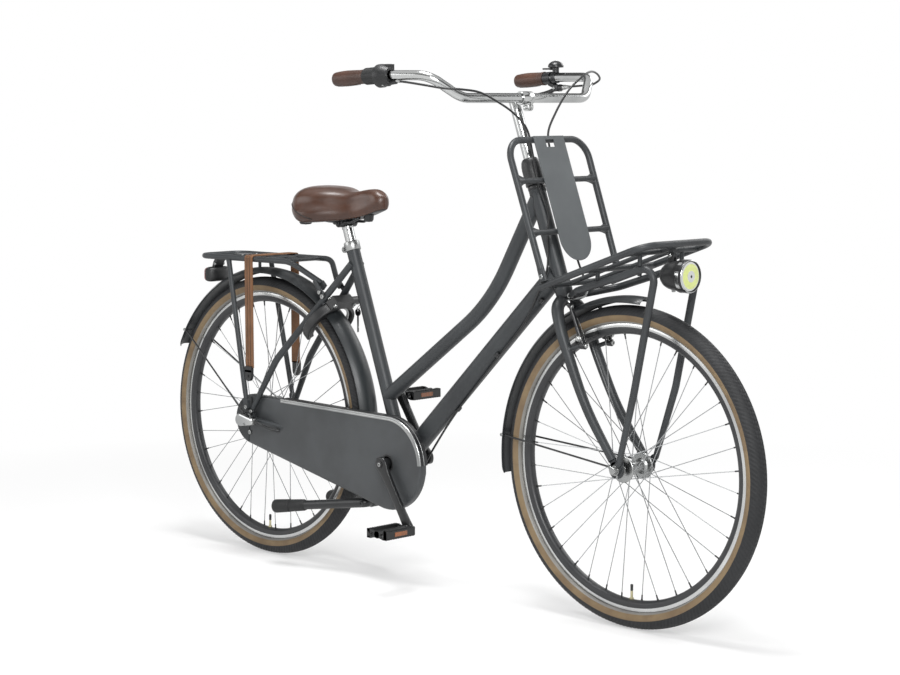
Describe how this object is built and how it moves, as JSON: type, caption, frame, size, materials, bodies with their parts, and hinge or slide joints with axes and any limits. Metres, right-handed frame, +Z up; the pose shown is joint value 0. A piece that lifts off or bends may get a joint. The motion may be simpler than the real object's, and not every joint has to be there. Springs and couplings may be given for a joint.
{
  "type": "dutch city bike",
  "caption": "Upright city bicycle with a curved low step-through tube, front and rear carriers, enclosed chain, ring lock, lights and a centre stand.",
  "frame": {"origin": "on the ground, midway between the two axles, in the plane of the wheels", "axes": "+X forwards to the front wheel, +Y to the rider's left, +Z up"},
  "size_m": [1.919, 0.6378, 1.2533],
  "materials": {
    "tyre": "matte rubber",
    "rim": "black with silver brake tracks",
    "hub": "satin",
    "frame_paint": "matte anthracite",
    "black_metal": "satin",
    "black_plastic": "matte",
    "steel": "satin",
    "silver": "satin",
    "chrome": "polished",
    "leather": "brown, smooth",
    "rubber": "ribbed",
    "bell_black": "glossy",
    "lens": "clear",
    "cable": "smooth sheath",
    "strap": "brown webbing",
    "tail_red": "red lens on black"
  },
  "bodies": {
    "frame": {"main_frame": "frame_paint", "rear_triangle": "frame_paint", "seat_collar": "silver", "rear_axle": "steel", "rear_fender": "frame_paint", "rear_fender_stay": "black_metal", "rear_carrier": "frame_paint", "luggage_strap": "strap", "tail_light": "tail_red", "ring_lock_body": "black_plastic", "chain_case_outer": "frame_paint", "chain_case_inner": "frame_paint", "chain_case_trim": "chrome", "chain": "steel", "bottom_bracket": "steel", "gear_cable_frame": "cable", "shift_box": "chrome"},
    "seat": {"seatpost": "silver", "saddle_base": "black_plastic", "saddle_cover": "leather"},
    "steering": {"fork": "frame_paint", "front_axle": "steel", "stem": "silver", "handlebar": "silver", "grip_right": "leather", "grip_left": "leather", "headset_cover": "black_plastic", "shifter_body": "black_plastic", "brake_perch": "black_metal", "bell": "bell_black", "carrier_hoop": "frame_paint", "carrier_platform": "frame_paint", "carrier_struts": "frame_paint", "name_plate": "frame_paint", "front_fender": "frame_paint", "front_fender_stay": "black_metal", "brake_cable": "cable", "gear_cable_bar": "cable"},
    "front_wheel": {"front_tyre": "tyre", "front_rim": "rim", "front_hub": "hub"},
    "rear_wheel": {"rear_tyre": "tyre", "rear_rim": "rim", "rear_hub": "hub"},
    "sprocket": {"rear_sprocket": "steel"},
    "crank": {"chainring": "steel", "crank_right": "black_metal", "crank_left": "black_metal"},
    "right_pedal": {"pedal_right": "black_plastic"},
    "left_pedal": {"pedal_left": "black_plastic"},
    "lever": {"brake_lever": "black_metal"},
    "right_brake_arm": {"brake_arm_right": "black_metal"},
    "left_brake_arm": {"brake_arm_left": "black_metal"},
    "gear_twist": {"shifter_ring": "rubber"},
    "bell_striker": {"bell_thumb": "black_plastic"},
    "shackle": {"lock_shackle": "steel"},
    "key": {"lock_key": "steel"},
    "stand": {"kickstand_legs": "black_metal"},
    "headlight": {"headlight_body": "black_plastic", "headlight_lens": "lens"}
  },
  "joints": [
    {"name": "saddle_height", "type": "slide", "parent": "frame", "child": "seat", "axis": [-0.3322, 0, 0.9432], "range_m": [0, 0.1]},
    {"name": "steering", "type": "hinge", "parent": "frame", "child": "steering", "pos_m": [0.3414, 0, 0.9], "axis": [-0.3371, 0, 0.9415], "range_deg": [-60, 60]},
    {"name": "front_wheel_spin", "type": "hinge", "parent": "steering", "child": "front_wheel", "pos_m": [0.6025, 0, 0.357], "axis": [0, 1, 0], "continuous": true},
    {"name": "rear_wheel_spin", "type": "hinge", "parent": "frame", "child": "rear_wheel", "pos_m": [-0.6025, 0, 0.357], "axis": [0, 1, 0], "continuous": true},
    {"name": "crank_spin", "type": "hinge", "parent": "frame", "child": "crank", "pos_m": [-0.1105, 0, 0.293], "axis": [0, 1, 0], "continuous": true},
    {"name": "sprocket_spin", "type": "hinge", "parent": "frame", "child": "sprocket", "pos_m": [-0.6025, 0, 0.357], "axis": [0, 1, 0], "continuous": true},
    {"name": "right_pedal_spin", "type": "hinge", "parent": "crank", "child": "right_pedal", "pos_m": [-0.01916, 0, 0.14962], "axis": [0, 1, 0], "continuous": true},
    {"name": "left_pedal_spin", "type": "hinge", "parent": "crank", "child": "left_pedal", "pos_m": [-0.20184, 0, 0.43638], "axis": [0, 1, 0], "continuous": true},
    {"name": "brake_lever_pull", "type": "hinge", "parent": "steering", "child": "lever", "pos_m": [0.10773, 0.30273, 1.18798], "axis": [0, 1, 0], "range_deg": [0, 9], "stiffness_Nm_per_rad": 4, "springref_deg": -4.58},
    {"name": "right_brake_arm_swing", "type": "hinge", "parent": "steering", "child": "right_brake_arm", "pos_m": [0.49044, -0.045, 0.621], "axis": [-1, 0, 0], "range_deg": [0, 3.1]},
    {"name": "left_brake_arm_swing", "type": "hinge", "parent": "steering", "child": "left_brake_arm", "pos_m": [0.49044, 0.045, 0.621], "axis": [1, 0, 0], "range_deg": [0, 3.1]},
    {"name": "gear_twist_turn", "type": "hinge", "parent": "steering", "child": "gear_twist", "pos_m": [0.0778, -0.2973, 1.21125], "axis": [0.9973, 0.044, 0.0587], "range_deg": [-60, 60]},
    {"name": "bell_striker_pull", "type": "hinge", "parent": "steering", "child": "bell_striker", "pos_m": [0.09722, 0.29579, 1.23398], "axis": [0, 0, 1], "range_deg": [0, 25], "stiffness_Nm_per_rad": 0.05, "springref_deg": -2.86},
    {"name": "shackle_turn", "type": "hinge", "parent": "frame", "child": "shackle", "pos_m": [-0.37853, 0, 0.61015], "axis": [-0.749, 0, 0.6626], "range_deg": [0, 110], "stiffness_Nm_per_rad": 0.15, "springref_deg": -11.46},
    {"name": "key_turn", "type": "hinge", "parent": "frame", "child": "key", "pos_m": [-0.338, 0, 0.66506], "axis": [0, 1, 0], "range_deg": [0, 90]},
    {"name": "stand_swing", "type": "hinge", "parent": "frame", "child": "stand", "pos_m": [-0.2085, 0, 0.183], "axis": [0, -1, 0], "range_deg": [0, 115]},
    {"name": "headlight_tilt", "type": "hinge", "parent": "steering", "child": "headlight", "pos_m": [0.7095, 0, 0.826], "axis": [0, 1, 0], "range_deg": [-12, 10]}
  ],
  "couplings": [
    {"joint": "sprocket_spin", "follows": "crank_spin", "ratio": 2},
    {"joint": "right_brake_arm_swing", "follows": "brake_lever_pull", "ratio": 0.33333},
    {"joint": "left_brake_arm_swing", "follows": "brake_lever_pull", "ratio": 0.33333}
  ]
}
